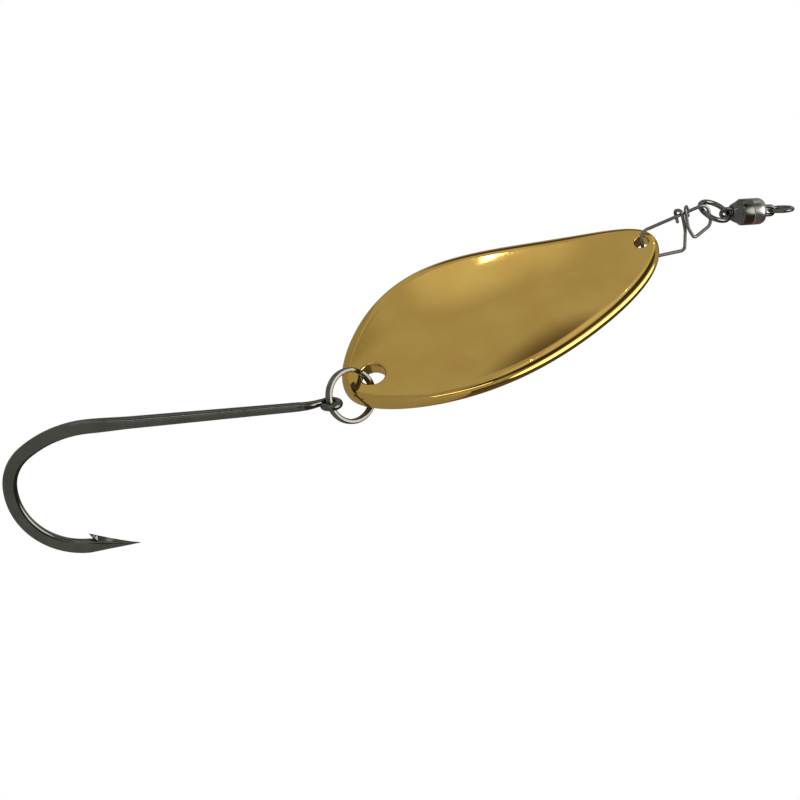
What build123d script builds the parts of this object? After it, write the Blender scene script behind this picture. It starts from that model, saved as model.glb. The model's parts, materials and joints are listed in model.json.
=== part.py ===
from build123d import *
import math
import os

# Spoon lure, hanging from its line ring. Millimetres, +Z up, origin at the line ring's centre.
# The chain from top to bottom: line ring, ball-bearing swivel, snap ring, locking wire snap,
# brass blade, split ring, single hook. Each link is placed from the link above it.

# ---- line ring: a welded wire ring that the leader ties to
LINE_RING_WIRE = 0.66
LINE_RING_MID_R = 1.95

# ---- swivel housing: two turned brass shells and the fixed wire loop
SHELL_R = 2.2
SHELL_WALL = 0.42
SHELL_LENGTH = 5.75
NOSE_R = 1.3
NOSE_CONE_LENGTH = 1.5
END_SHELL_LENGTH = 2.35
END_FACE_R = 1.35
END_ROUND_LENGTH = 1.15
END_ROUND_BULGE = 0.6
END_ROUND_BULGE_DEPTH = 0.35
END_WALL = 0.9
SPIGOT_WALL = 0.35
SPIGOT_LENGTH = 0.4
FIXED_LOOP_WIRE = 0.62
FIXED_LOOP_REACH = 1.93
LEG_HEAD_R = 0.46
LEG_HEAD_THICKNESS = 0.3

# ---- rotating side of the swivel
SHANK_R = 0.5
SHOULDER_R = 1.12
SHOULDER_THICKNESS = 0.15
ROTATING_LOOP_WIRE = 0.66
ROTATING_LOOP_REACH = 1.75
RACE_THICKNESS = 0.35
BALL_D = 0.8
BALL_PITCH_R = 1.13
BALL_COUNT = 8
BALL_SEAT = 0.1
BALL_CLEARANCE = 0.02
COLLAR_THICKNESS = 0.5
COLLAR_R = 0.95

# ---- snap ring between the swivel and the snap
SNAP_RING_WIRE = 0.84
SNAP_RING_MID_R = 2.54

# ---- locking wire snap, laid out in its own plane, x from its blade end to its swivel end
SNAP_WIRE = 0.56
SNAP_LENGTH = 12.5
SPINE_HEIGHT = 2.6
SPINE_DROP_AT_BLADE = 0.45
LURE_LOOP_DEPTH = 3.5
LURE_LOOP_CORNER = 6.75
SWIVEL_LOOP_DEPTH = 2.1
SWIVEL_LOOP_CORNER = 8.8
LATCH_CENTRE = 8.05
LATCH_TAIL = 1.5
BLADE_CROSSING_HEIGHT = -0.28
LURE_SIDE_START = 0.1
LURE_LOOP_SLANT = 0.5
LURE_LOOP_SIDE = 4.5
LATCH_OVER_SPINE = 0.15
LATCH_BESIDE_SPINE = 0.06
SNAP_SEAT_INSET = 0.9
SNAP_SEAT_DROP = 1.1

# ---- blade: stamped brass, dished across and bent in a slight S along its length
BLADE_LENGTH = 58.0
BLADE_WIDTH = 27.6
BLADE_THICKNESS = 2.4
BLADE_CUP = 1.24
BLADE_CUP_TAPER = 0.53
BLADE_CUP_ENDS = 0.6
BLADE_BOW = 1.86
BLADE_S_BEND = 2.47
BLADE_END_LIFT = 1.67
BLADE_TAIL_FULLNESS = 0.304
BLADE_END_PINCH = 0.129
BLADE_FRONT_SHOULDER = 0.263
BLADE_EDGE_ROUND = 0.8
TAIL_HOLE_D = 4.0
TAIL_HOLE_INSET = 4.8
FRONT_HOLE_D = 2.3
FRONT_HOLE_INSET = 2.5
TAIL_HOLE_EDGE_ROUND = 0.35
FRONT_HOLE_EDGE_ROUND = 0.2

# ---- split ring: two turns of flattened wire
SPLIT_RING_MID_R = 4.05
SPLIT_WIRE_RADIAL = 0.8
SPLIT_WIRE_AXIAL = 0.62
SPLIT_COIL_GAP = 0.03
SPLIT_RING_TURNS = 1.94
SPLIT_RING_SLANT_ROOM = 0.7

# ---- hook: forged, with a closed ring eye
HOOK_TOP_D = 1.4
HOOK_SHANK_D = 1.95
HOOK_SHANK_LENGTH = 37.5
HOOK_FORGED_START = 30.5
HOOK_FORGED_WIDTH = 2.3
HOOK_FORGED_THICKNESS = 1.5
HOOK_BEND_RADII = (16.9, 7.3, 11.2)
HOOK_BEND_TURNS = (38.0, 50.0, 92.0)
HOOK_POINT_LENGTH = 8.0
HOOK_POINT_LEAN = 0.3
HOOK_TIP_D = 0.25
BARB_SETBACK = 6.6
BARB_RISE = 1.0
BARB_LENGTH = 5.9
BARB_THICKNESS = 0.7
BARB_OVERHANG = 1.1
BARB_UNDERCUT = 0.6
BARB_START_SINK = 0.2
EYE_WIRE = 1.1
EYE_MID_R = 1.4

# ---- working clearances
RUNNING = 0.05
SEATED = 0.01
LINK_GAP = 0.07
SNAP_RING_SLACK = 0.25
EYE_SLACK = 0.08

# ---- how each link lies at rest: directions in the lure's frame
HOUSING_AXIS = Vector(0.245, -0.093, 0.965)
LINE_RING_NORMAL = Vector(-0.969, 0.185, 0.2155)
SNAP_RING_NORMAL = Vector(-0.841, -0.307, 0.4485)
SNAP_RING_TO_SWIVEL = Vector(0.477, 0.048, 0.878)
SNAP_RING_TO_SNAP = Vector(-0.4, -0.3, -0.87)
SNAP_AXIS = Vector(-0.028, -0.001, 1.0)
SNAP_SIDE = Vector(-0.982, 0.157, -0.028)
BLADE_AXIS = Vector(-0.085, 0.088, 0.993)
BLADE_FACE = Vector(-0.931, -0.3625, -0.048)
SPLIT_RING_NORMAL = Vector(-0.28, -0.912, 0.296)
SPLIT_RING_TO_BLADE = Vector(-0.15, 0.21, 0.965)
SPLIT_RING_TO_HOOK = Vector(-0.055, -0.107, -0.993)
HOOK_SHANK_AXIS = Vector(0.155, -0.252, 0.957)
HOOK_POINT_SIDE = Vector(0.989, 0.0, -0.149)

os.makedirs("parts", exist_ok=True)


def write(name, solid, frame):
    """Place a piece made in its link's own frame and write it."""
    placed = frame.location * solid
    export_step(placed, "parts/" + name + ".step")


def across(direction, axis):
    """The unit direction with its component along the axis taken out."""
    unit = axis.normalized()
    return (direction - unit * direction.dot(unit)).normalized()


def wire_swept(path, diameter):
    start = Plane(origin=path @ 0, z_dir=path % 0)
    return sweep(start * Circle(diameter / 2), path=path)


def u_loop(half_width, reach, root, diameter):
    """A wire loop in the XZ plane: two legs from z = root, joined by a half circle at z = reach."""
    side = 1 if reach > root else -1
    arc_z = reach - side * half_width
    left = Line((-half_width, 0, root), (-half_width, 0, arc_z))
    top = ThreePointArc((-half_width, 0, arc_z), (0, 0, reach), (half_width, 0, arc_z))
    right = Line((half_width, 0, arc_z), (half_width, 0, root))
    return wire_swept(Wire([left, top, right]), diameter)


def rounded_path(corners):
    """Straight runs joined by tangent arcs. Each corner is a point and its radius."""
    points = [Vector(*corner[:3]) for corner in corners]
    edges = []
    start = points[0]
    for i in range(1, len(points) - 1):
        back = (points[i - 1] - points[i]).normalized()
        ahead = (points[i + 1] - points[i]).normalized()
        half_angle = math.radians(back.get_angle(ahead)) / 2
        radius = corners[i][3]
        tangent_length = radius / math.tan(half_angle)
        inward = (back + ahead).normalized()
        arc_start = points[i] + back * tangent_length
        arc_end = points[i] + ahead * tangent_length
        middle = points[i] + inward * (radius / math.sin(half_angle) - radius)
        edges.append(Line(start, arc_start))
        edges.append(ThreePointArc(arc_start, middle, arc_end))
        start = arc_end
    edges.append(Line(start, points[-1]))
    return Wire(edges)


# ---------------------------------------------------------------- line ring
line_ring_frame = Plane(origin=(0, 0, 0), z_dir=LINE_RING_NORMAL)
write("line_ring", Torus(LINE_RING_MID_R, LINE_RING_WIRE / 2), line_ring_frame)

# ---------------------------------------------------------------- swivel housing
# Local frame: origin at the centre of the end face, +Z up along the barrel to the line ring.
housing_axis = HOUSING_AXIS.normalized()
fixed_half_width = FIXED_LOOP_WIRE / 2 + LINE_RING_WIRE / 2 + LINK_GAP
ring_low = across(housing_axis * -1, LINE_RING_NORMAL) * LINE_RING_MID_R
housing_origin = ring_low - housing_axis * (FIXED_LOOP_REACH - fixed_half_width)
housing_frame = Plane(origin=housing_origin, x_dir=across(LINE_RING_NORMAL, housing_axis), z_dir=housing_axis)

seam_z = -END_SHELL_LENGTH
floor_z = -(SHELL_LENGTH - NOSE_CONE_LENGTH)
nose_z = -SHELL_LENGTH
bore_r = SHELL_R - SHELL_WALL
spigot_r = bore_r - SEATED
end_cavity_r = spigot_r - SPIGOT_WALL

shoulder_z = -END_ROUND_LENGTH
end_edge = ThreePointArc(
    (END_FACE_R, 0),
    (END_FACE_R + END_ROUND_BULGE * (SHELL_R - END_FACE_R), shoulder_z * END_ROUND_BULGE_DEPTH),
    (SHELL_R, shoulder_z),
)
end_profile = [
    Line((0, 0), (END_FACE_R, 0)),
    end_edge,
    Polyline((SHELL_R, shoulder_z), (SHELL_R, seam_z), (spigot_r, seam_z), (spigot_r, seam_z - SPIGOT_LENGTH)),
    Polyline(
        (spigot_r, seam_z - SPIGOT_LENGTH),
        (end_cavity_r, seam_z - SPIGOT_LENGTH),
        (end_cavity_r, -END_WALL),
        (0, -END_WALL),
        (0, 0),
    ),
]
end_shell = revolve(Plane.XZ * make_face(end_profile), axis=Axis.Z)
for side in (-1, 1):
    leg_hole = Cylinder(FIXED_LOOP_WIRE / 2 + SEATED, 4 * END_WALL)
    end_shell -= Pos(side * fixed_half_width, 0, 0) * leg_hole
write("end_shell", end_shell, housing_frame)

nose_profile = Polyline(
    (bore_r, seam_z - SEATED),
    (SHELL_R, seam_z - SEATED),
    (SHELL_R, floor_z),
    (NOSE_R, nose_z),
    (SHANK_R + RUNNING, nose_z),
    (SHANK_R + RUNNING, floor_z),
    (bore_r, floor_z),
    close=True,
)
nose_shell = revolve(Plane.XZ * make_face(nose_profile), axis=Axis.Z)
write("nose_shell", nose_shell, housing_frame)

leg_root = -END_WALL - LEG_HEAD_THICKNESS
fixed_loop = u_loop(fixed_half_width, FIXED_LOOP_REACH, leg_root, FIXED_LOOP_WIRE)
for side in (-1, 1):
    leg_head = Cylinder(LEG_HEAD_R, LEG_HEAD_THICKNESS - SEATED)
    head_z = -END_WALL - SEATED - (LEG_HEAD_THICKNESS - SEATED) / 2
    fixed_loop += Pos(side * fixed_half_width, 0, head_z) * leg_head
write("fixed_loop", fixed_loop, housing_frame)

# ---------------------------------------------------------------- ball bearing
lower_race_top = floor_z + SEATED + RACE_THICKNESS
ball_z = lower_race_top + BALL_D / 2 + BALL_CLEARANCE - BALL_SEAT
upper_race_bottom = ball_z + BALL_D / 2 + BALL_CLEARANCE - BALL_SEAT
collar_bottom = upper_race_bottom + RACE_THICKNESS + SEATED
race_bore_r = SHANK_R + 2 * RUNNING
race_r = bore_r - SEATED
ball_groove = Pos(0, 0, ball_z) * Torus(BALL_PITCH_R, BALL_D / 2 + BALL_CLEARANCE)


def race(outer_r, inner_r, z):
    washer = Cylinder(outer_r, RACE_THICKNESS) - Cylinder(inner_r, 2 * RACE_THICKNESS)
    return Pos(0, 0, z) * washer - ball_groove


lower_race = race(race_r, race_bore_r, lower_race_top - RACE_THICKNESS / 2)
write("lower_race", lower_race, housing_frame)
upper_race = race(race_r - 2 * RUNNING, SHANK_R + SEATED, upper_race_bottom + RACE_THICKNESS / 2)
write("upper_race", upper_race, housing_frame)

for i in range(BALL_COUNT):
    angle = math.radians(360 / BALL_COUNT * i)
    ball_place = Pos(BALL_PITCH_R * math.cos(angle), BALL_PITCH_R * math.sin(angle), ball_z)
    write("bearing_ball_" + str(i + 1), ball_place * Sphere(BALL_D / 2), housing_frame)

shank_top = collar_bottom + COLLAR_THICKNESS
collar = Cylinder(COLLAR_R, COLLAR_THICKNESS) - Cylinder(SHANK_R + SEATED, 2 * COLLAR_THICKNESS)
write("shank_collar", Pos(0, 0, collar_bottom + COLLAR_THICKNESS / 2) * collar, housing_frame)

# ---------------------------------------------------------------- rotating loop
# It turns in the housing's frame, with its width along the snap ring's normal.
ring_normal = SNAP_RING_NORMAL.normalized()
rotating_frame = Plane(origin=housing_origin, x_dir=across(ring_normal, housing_axis), z_dir=housing_axis)
rotating_half_width = ROTATING_LOOP_WIRE / 2 + SNAP_RING_WIRE / 2 + LINK_GAP
shoulder_top = nose_z - RUNNING
shoulder_bottom = shoulder_top - SHOULDER_THICKNESS
loop_tip = nose_z - ROTATING_LOOP_REACH
rotating_loop = u_loop(rotating_half_width, loop_tip, shoulder_bottom + SHOULDER_THICKNESS / 2, ROTATING_LOOP_WIRE)
rotating_loop += Pos(0, 0, (shoulder_top + shoulder_bottom) / 2) * Cylinder(SHOULDER_R, SHOULDER_THICKNESS)
shank_length = shank_top - shoulder_bottom
rotating_loop += Pos(0, 0, shoulder_bottom + shank_length / 2) * Cylinder(SHANK_R, shank_length)
write("rotating_loop", rotating_loop, rotating_frame)

# ---------------------------------------------------------------- snap ring
ring_seat = housing_origin + housing_axis * (loop_tip + rotating_half_width + SNAP_RING_SLACK)
snap_ring_centre = ring_seat - across(SNAP_RING_TO_SWIVEL, ring_normal) * SNAP_RING_MID_R
snap_ring_frame = Plane(origin=snap_ring_centre, z_dir=ring_normal)
write("snap_ring", Torus(SNAP_RING_MID_R, SNAP_RING_WIRE / 2), snap_ring_frame)

# ---------------------------------------------------------------- snap
# One length of spring wire. Local frame: x from the blade end to the swivel end, y towards the spine.
snap_axis = SNAP_AXIS.normalized()
snap_side = across(SNAP_SIDE, snap_axis)
latch_top = SPINE_HEIGHT + SNAP_WIRE + LATCH_OVER_SPINE
latch_front = SNAP_WIRE + LATCH_BESIDE_SPINE
spine_start = SPINE_HEIGHT - SPINE_DROP_AT_BLADE
snap_path = rounded_path([
    (LATCH_CENTRE - 1.05, SPINE_HEIGHT - LATCH_TAIL, -latch_front, 0),
    (LATCH_CENTRE - 1.03, latch_top, -latch_front, 0.5),
    (LATCH_CENTRE - 0.37, latch_top, latch_front, 0.5),
    (LATCH_CENTRE - 0.3, -0.4, -0.08, 3.0),
    (LURE_LOOP_CORNER, -LURE_LOOP_DEPTH, 0, 0.8),
    (LURE_SIDE_START - LURE_LOOP_SLANT, spine_start - LURE_LOOP_SIDE, 0, 1.3),
    (LURE_SIDE_START, spine_start, 0, 1.5),
    (SNAP_LENGTH + 0.1, SPINE_HEIGHT + 0.05, 0, 1.25),
    (SNAP_LENGTH - 0.1, -1.0, 0, 1.35),
    (SWIVEL_LOOP_CORNER, -SWIVEL_LOOP_DEPTH, 0.2, 0.6),
    (LATCH_CENTRE + 0.07, 0.0, 0.5, 2.0),
    (LATCH_CENTRE + 0.35, latch_top, latch_front, 0.5),
    (LATCH_CENTRE + 1.2, latch_top, -latch_front, 0.5),
    (LATCH_CENTRE + 1.0, SPINE_HEIGHT - 1.15, -latch_front, 0),
])
snap_seat_x = SNAP_LENGTH - SNAP_SEAT_INSET
snap_seat_y = SPINE_HEIGHT - SNAP_SEAT_DROP
ring_low_point = snap_ring_centre + across(SNAP_RING_TO_SNAP, ring_normal) * SNAP_RING_MID_R
snap_origin = ring_low_point - snap_axis * snap_seat_x - snap_side * snap_seat_y
snap_frame = Plane(origin=snap_origin, x_dir=snap_axis, z_dir=snap_axis.cross(snap_side))
write("snap", wire_swept(snap_path, SNAP_WIRE), snap_frame)

# ---------------------------------------------------------------- blade
# Local frame: origin midway along the blade, x to its front end, z out of its dished face.


def face_height(x, y):
    """Height of the dished face over the blade's base plane."""
    run = 2 * x / BLADE_LENGTH
    bend = BLADE_S_BEND * (run**3 - run) - BLADE_BOW * run**2 + BLADE_END_LIFT * run**4
    cup = BLADE_CUP - BLADE_CUP_TAPER * run + BLADE_CUP_ENDS * run**2
    return bend + cup * (2 * y / BLADE_WIDTH) ** 2


def face_normal(x, y):
    step = 0.01
    slope_x = (face_height(x + step, y) - face_height(x - step, y)) / (2 * step)
    slope_y = (face_height(x, y + step) - face_height(x, y - step)) / (2 * step)
    return Vector(-slope_x, -slope_y, 1).normalized()


def outline_point(angle):
    """The egg-shaped outline: fuller towards the tail, at a turn of angle from the front end."""
    turn = math.radians(angle)
    run = math.cos(turn)
    share = 1 - BLADE_TAIL_FULLNESS * run - BLADE_END_PINCH * run**2 + BLADE_FRONT_SHOULDER * run**3
    return (BLADE_LENGTH / 2 * run, BLADE_WIDTH / 2 * math.sin(turn) * share)


margin = 1.1
grid = []
for i in range(15):
    x = (i / 7 - 1) * BLADE_LENGTH / 2 * margin
    row = []
    for j in range(9):
        y = (j / 4 - 1) * BLADE_WIDTH / 2 * margin * 1.1
        row.append(Vector(x, y, face_height(x, y)))
    grid.append(row)
dished_face = Face.make_surface_from_array_of_points(grid)
slab = Solid.extrude(dished_face, Vector(0, 0, -BLADE_THICKNESS))
outline = Spline(*[outline_point(angle) for angle in range(0, 360, 15)], periodic=True)
prism = Pos(0, 0, -10) * extrude(make_face(outline), amount=20)
blade = prism & slab
blade = fillet(blade.edges().sort_by(Edge.length)[-2:], BLADE_EDGE_ROUND)
hole_places = (
    (-(BLADE_LENGTH / 2 - TAIL_HOLE_INSET), TAIL_HOLE_D, TAIL_HOLE_EDGE_ROUND),
    (BLADE_LENGTH / 2 - FRONT_HOLE_INSET, FRONT_HOLE_D, FRONT_HOLE_EDGE_ROUND),
)
for hole_x, hole_d, hole_round in hole_places:
    hole_plane = Plane(origin=(hole_x, 0, face_height(hole_x, 0)), z_dir=face_normal(hole_x, 0))
    blade = blade - hole_plane.location * Cylinder(hole_d / 2, 8 * BLADE_THICKNESS)
    rims = blade.edges().filter_by(lambda edge: 0.8 * math.pi * hole_d < edge.length < 1.2 * math.pi * hole_d)
    blade = fillet(rims, hole_round)

blade_axis = BLADE_AXIS.normalized()
blade_face = across(BLADE_FACE, blade_axis)
front_x = hole_places[1][0]
front_hole_local = Vector(front_x, 0, face_height(front_x, 0)) - face_normal(front_x, 0) * (BLADE_THICKNESS / 2)
crossing_x = LURE_SIDE_START - LURE_LOOP_SLANT * (spine_start - BLADE_CROSSING_HEIGHT) / LURE_LOOP_SIDE
blade_hang = snap_frame.from_local_coords(Vector(crossing_x, BLADE_CROSSING_HEIGHT, 0))
blade_turn = Plane(origin=(0, 0, 0), x_dir=blade_axis, z_dir=blade_face)
blade_origin = blade_hang - blade_turn.from_local_coords(front_hole_local)
blade_frame = Plane(origin=blade_origin, x_dir=blade_axis, z_dir=blade_face)
write("blade", blade, blade_frame)

# ---------------------------------------------------------------- split ring
split_normal = SPLIT_RING_NORMAL.normalized()
tail_x = hole_places[0][0]
tail_local = Vector(tail_x, 0, face_height(tail_x, 0)) - face_normal(tail_x, 0) * (BLADE_THICKNESS / 2)
tail_centre = blade_frame.from_local_coords(tail_local)
wire_offset = TAIL_HOLE_D / 2 - SPLIT_WIRE_RADIAL / 2 - SPLIT_RING_SLANT_ROOM
split_up = across(SPLIT_RING_TO_BLADE, split_normal)
split_centre = tail_centre - split_up * (SPLIT_RING_MID_R + wire_offset)
coil_pitch = SPLIT_WIRE_AXIAL + SPLIT_COIL_GAP
coil = Helix(coil_pitch, coil_pitch * SPLIT_RING_TURNS, SPLIT_RING_MID_R)
coil_start = Plane(origin=coil @ 0, x_dir=(1, 0, 0), z_dir=coil % 0)
wire_section = coil_start * Ellipse(SPLIT_WIRE_RADIAL / 2, SPLIT_WIRE_AXIAL / 2)
split_ring = sweep(wire_section, path=Wire([coil]), is_frenet=True)
split_ring = Pos(0, 0, -coil_pitch * SPLIT_RING_TURNS / 2) * split_ring
split_frame = Plane(origin=split_centre, x_dir=split_up.cross(split_normal), z_dir=split_normal)
write("split_ring", split_ring, split_frame)

# ---------------------------------------------------------------- hook
# Local frame: origin at the eye's centre, x down the shank, y towards the point.
eye = Rot(90, 0, 0) * Torus(EYE_MID_R, EYE_WIRE / 2)


def across_x(x, y, turn, width, thickness):
    """A section of the hook's wire where it heads at the given turn from the shank."""
    heading = Vector(math.cos(math.radians(turn)), math.sin(math.radians(turn)), 0)
    plane = Plane(origin=(x, y, 0), x_dir=heading.cross(Vector(0, 0, 1)), z_dir=heading)
    return plane * Ellipse(width / 2, thickness / 2)


shank = loft([
    across_x(EYE_MID_R, 0, 0, HOOK_TOP_D, HOOK_TOP_D),
    across_x(HOOK_FORGED_START, 0, 0, HOOK_SHANK_D, HOOK_SHANK_D),
], ruled=True)
forging_start = loft([
    across_x(HOOK_FORGED_START, 0, 0, HOOK_SHANK_D, HOOK_SHANK_D),
    across_x(HOOK_SHANK_LENGTH, 0, 0, HOOK_FORGED_WIDTH, HOOK_FORGED_THICKNESS),
], ruled=True)

bend_edges = []
place = Vector(HOOK_SHANK_LENGTH, 0, 0)
heading = 0.0
for radius, turn in zip(HOOK_BEND_RADII, HOOK_BEND_TURNS):
    steps = []
    for share in (0.5, 1.0):
        end_turn = math.radians(heading + turn * share)
        start_turn = math.radians(heading)
        dx = radius * (math.sin(end_turn) - math.sin(start_turn))
        dy = radius * (math.cos(start_turn) - math.cos(end_turn))
        steps.append(place + Vector(dx, dy, 0))
    bend_edges.append(ThreePointArc(place, steps[0], steps[1]))
    place = steps[1]
    heading += turn
bend_section = across_x(HOOK_SHANK_LENGTH, 0, 0, HOOK_FORGED_WIDTH, HOOK_FORGED_THICKNESS)
bend = sweep(bend_section, path=Wire(bend_edges))

point_base = place
tip = point_base - Vector(HOOK_POINT_LENGTH, -HOOK_POINT_LEAN, 0)
point_spear = loft([
    across_x(point_base.X, point_base.Y, 180, HOOK_FORGED_WIDTH, HOOK_FORGED_THICKNESS),
    across_x(tip.X, tip.Y, 180, HOOK_TIP_D, HOOK_TIP_D),
], ruled=True)
barb_root_x = tip.X + BARB_SETBACK
barb_tip_y = point_base.Y - HOOK_FORGED_WIDTH / 2 - BARB_RISE
barb_profile = Polyline(
    (barb_root_x - BARB_LENGTH, point_base.Y - BARB_START_SINK),
    (barb_root_x + BARB_OVERHANG, barb_tip_y),
    (barb_root_x, point_base.Y - BARB_UNDERCUT),
    (barb_root_x, point_base.Y),
    close=True,
)
barb = Pos(0, 0, -BARB_THICKNESS / 2) * extrude(make_face(barb_profile), amount=BARB_THICKNESS)
hook = shank + eye + forging_start + bend + point_spear + barb

hook_side = across(HOOK_POINT_SIDE, HOOK_SHANK_AXIS)
hook_eye_centre = split_centre + across(SPLIT_RING_TO_HOOK, split_normal) * (SPLIT_RING_MID_R - EYE_SLACK)
shank_down = HOOK_SHANK_AXIS.normalized() * -1
hook_frame = Plane(origin=hook_eye_centre, x_dir=shank_down, z_dir=shank_down.cross(hook_side))
write("hook", hook, hook_frame)
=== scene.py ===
import json
import math

import bmesh
import bpy
from mathutils import Matrix, Vector
from mathutils.geometry import delaunay_2d_cdt


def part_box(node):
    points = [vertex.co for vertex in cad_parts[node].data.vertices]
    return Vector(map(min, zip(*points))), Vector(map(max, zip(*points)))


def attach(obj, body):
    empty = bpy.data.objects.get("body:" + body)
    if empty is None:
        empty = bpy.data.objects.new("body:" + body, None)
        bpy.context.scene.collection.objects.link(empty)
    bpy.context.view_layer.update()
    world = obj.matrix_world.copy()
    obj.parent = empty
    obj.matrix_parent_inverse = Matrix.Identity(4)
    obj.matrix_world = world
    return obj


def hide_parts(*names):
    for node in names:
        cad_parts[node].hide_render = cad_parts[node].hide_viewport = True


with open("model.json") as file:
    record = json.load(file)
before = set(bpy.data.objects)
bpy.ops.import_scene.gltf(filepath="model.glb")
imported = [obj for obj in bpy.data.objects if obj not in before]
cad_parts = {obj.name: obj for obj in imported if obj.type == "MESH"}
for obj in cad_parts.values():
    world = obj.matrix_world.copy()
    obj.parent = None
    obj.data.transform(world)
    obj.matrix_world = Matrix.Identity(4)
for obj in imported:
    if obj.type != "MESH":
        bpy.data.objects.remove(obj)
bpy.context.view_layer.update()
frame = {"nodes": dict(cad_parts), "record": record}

# ============================================================ line ring
# The ring that the leader ties to: round steel wire bent into a ring, butt welded, tumbled
# smooth and plated in black nickel. The weld leaves a slight bulge.
MM = 0.001
LINE_RING_WIRE_R = 0.33
LINE_RING_MID_R = 1.95
LINE_RING_NORMAL = Vector((-0.969, 0.185, 0.2155)).normalized()
WELD_BULGE = 0.07
WELD_SPREAD = 0.16
BLACK_NICKEL = (0.17, 0.17, 0.158, 1)
BLACK_NICKEL_THIN = (0.23, 0.225, 0.205, 1)


def across(direction, axis):
    """The unit direction with its component along the axis taken out."""
    return (direction - axis * direction.dot(axis)).normalized()


def link_place(centre, along, facing):
    """Where a link lies: its own millimetres, x along it and z facing, to metres in the lure."""
    x = along.normalized()
    z = across(facing, x)
    turn = Matrix((x, z.cross(x), z)).transposed().to_4x4()
    return Matrix.Translation(centre) @ turn @ Matrix.Scale(MM, 4)


def round_wire(radius, sides=24):
    """The section of a round wire."""
    turns = [2 * math.pi * k / sides for k in range(sides)]
    return [(radius * math.cos(turn), radius * math.sin(turn)) for turn in turns]


def draw_wire(name, route, section_at, upright, place, closed=False):
    """Wire drawn along a route. section_at gives its section at each share of the way, and the map
    called run keeps how far along and around the wire each point is, in millimetres."""
    work = bmesh.new()
    run_map = work.loops.layers.uv.new("run")
    last = len(route) - 1
    lift = upright
    travelled = 0.0
    rings = []
    for i, point in enumerate(route):
        behind = route[i - 1] if i or closed else point
        ahead = route[(i + 1) % len(route)] if i < last or closed else point
        heading = (ahead - behind).normalized()
        lift = across(lift, heading)
        side = lift.cross(heading)
        if i:
            travelled += (point - route[i - 1]).length
        section = section_at(i / last)
        ring = [work.verts.new(place @ (point + lift * u + side * v)) for u, v in section]
        girth = 2 * math.pi * max(math.hypot(u, v) for u, v in section)
        rings.append((ring, travelled, girth))
    spans = list(zip(rings, rings[1:]))
    if closed:
        first_ring, _, first_girth = rings[0]
        closing = travelled + (route[0] - route[-1]).length
        spans.append((rings[-1], (first_ring, closing, first_girth)))
    for (near, near_run, near_girth), (far, far_run, far_girth) in spans:
        sides = len(near)
        for k in range(sides):
            after = (k + 1) % sides
            face = work.faces.new((near[k], far[k], far[after], near[after]))
            face.smooth = True
            marks = (
                (near_run, near_girth * k / sides),
                (far_run, far_girth * k / sides),
                (far_run, far_girth * (k + 1) / sides),
                (near_run, near_girth * (k + 1) / sides),
            )
            for corner, mark in zip(face.loops, marks):
                corner[run_map].uv = mark
    if not closed:
        work.faces.new(list(reversed(rings[0][0])))
        work.faces.new(rings[-1][0])
    bmesh.ops.recalc_face_normals(work, faces=work.faces)
    mesh = bpy.data.meshes.new(name)
    work.to_mesh(mesh)
    work.free()
    wire = bpy.data.objects.new(name, mesh)
    bpy.context.collection.objects.link(wire)
    return wire


def ring_route(radius, steps=120):
    """A circle about z."""
    turns = [2 * math.pi * k / steps for k in range(steps)]
    return [Vector((radius * math.cos(turn), radius * math.sin(turn), 0)) for turn in turns]


def welded_section(radius, weld_at):
    """The section of a welded ring's wire, a little fuller at the weld."""
    def section_at(share):
        gap = abs(share - weld_at) * 2 * math.pi
        fuller = 1 + WELD_BULGE * math.exp(-((gap / WELD_SPREAD) ** 2))
        return round_wire(radius * fuller)
    return section_at


def add(tree, kind, feeds=None, **settings):
    """A shader node. feeds gives each input another node's output or a plain value."""
    made = tree.nodes.new(kind)
    for name, value in settings.items():
        setattr(made, name, value)
    for name, value in (feeds or {}).items():
        if isinstance(value, bpy.types.NodeSocket):
            tree.links.new(value, made.inputs[name])
        else:
            made.inputs[name].default_value = value
    return made


def new_group(name, takes, gives):
    """An empty shader group. takes holds (name, kind, value) and gives holds (name, kind)."""
    group = bpy.data.node_groups.new(name, "ShaderNodeTree")
    for label, kind, value in takes:
        group.interface.new_socket(label, in_out="INPUT", socket_type=kind).default_value = value
    for label, kind in gives:
        group.interface.new_socket(label, in_out="OUTPUT", socket_type=kind)
    return group, group.nodes.new("NodeGroupInput").outputs, group.nodes.new("NodeGroupOutput").inputs


# Plating isn't even: it runs thin in patches and carries fine specks.
plating, given, gives = new_group(
    "uneven_plating",
    (
        ("Patches per metre", "NodeSocketFloat", 300.0),
        ("Full colour", "NodeSocketColor", BLACK_NICKEL),
        ("Thin colour", "NodeSocketColor", BLACK_NICKEL_THIN),
        ("Smoothest", "NodeSocketFloat", 0.18),
        ("Roughest", "NodeSocketFloat", 0.34),
    ),
    (("Colour", "NodeSocketColor"), ("Roughness", "NodeSocketFloat"), ("Specks", "NodeSocketFloat")),
)
spot = add(plating, "ShaderNodeTexCoord").outputs["Object"]
patches = add(plating, "ShaderNodeTexNoise", {
    "Vector": spot, "Scale": given["Patches per metre"], "Detail": 4.0, "Roughness": 0.62,
})
thin = add(plating, "ShaderNodeMapRange", {
    "Value": patches.outputs["Fac"], "From Min": 0.35, "From Max": 0.72,
})
colour = add(plating, "ShaderNodeMix", data_type="RGBA")
plating.links.new(thin.outputs["Result"], colour.inputs["Factor"])
plating.links.new(given["Full colour"], colour.inputs[6])
plating.links.new(given["Thin colour"], colour.inputs[7])
speck_scale = add(plating, "ShaderNodeMath", {0: given["Patches per metre"], 1: 14.0}, operation="MULTIPLY")
speck_noise = add(plating, "ShaderNodeTexNoise", {
    "Vector": spot, "Scale": speck_scale.outputs[0], "Detail": 2.0, "Roughness": 0.5,
})
specks = add(plating, "ShaderNodeMapRange", {
    "Value": speck_noise.outputs["Fac"], "From Min": 0.56, "From Max": 0.7,
})
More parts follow.
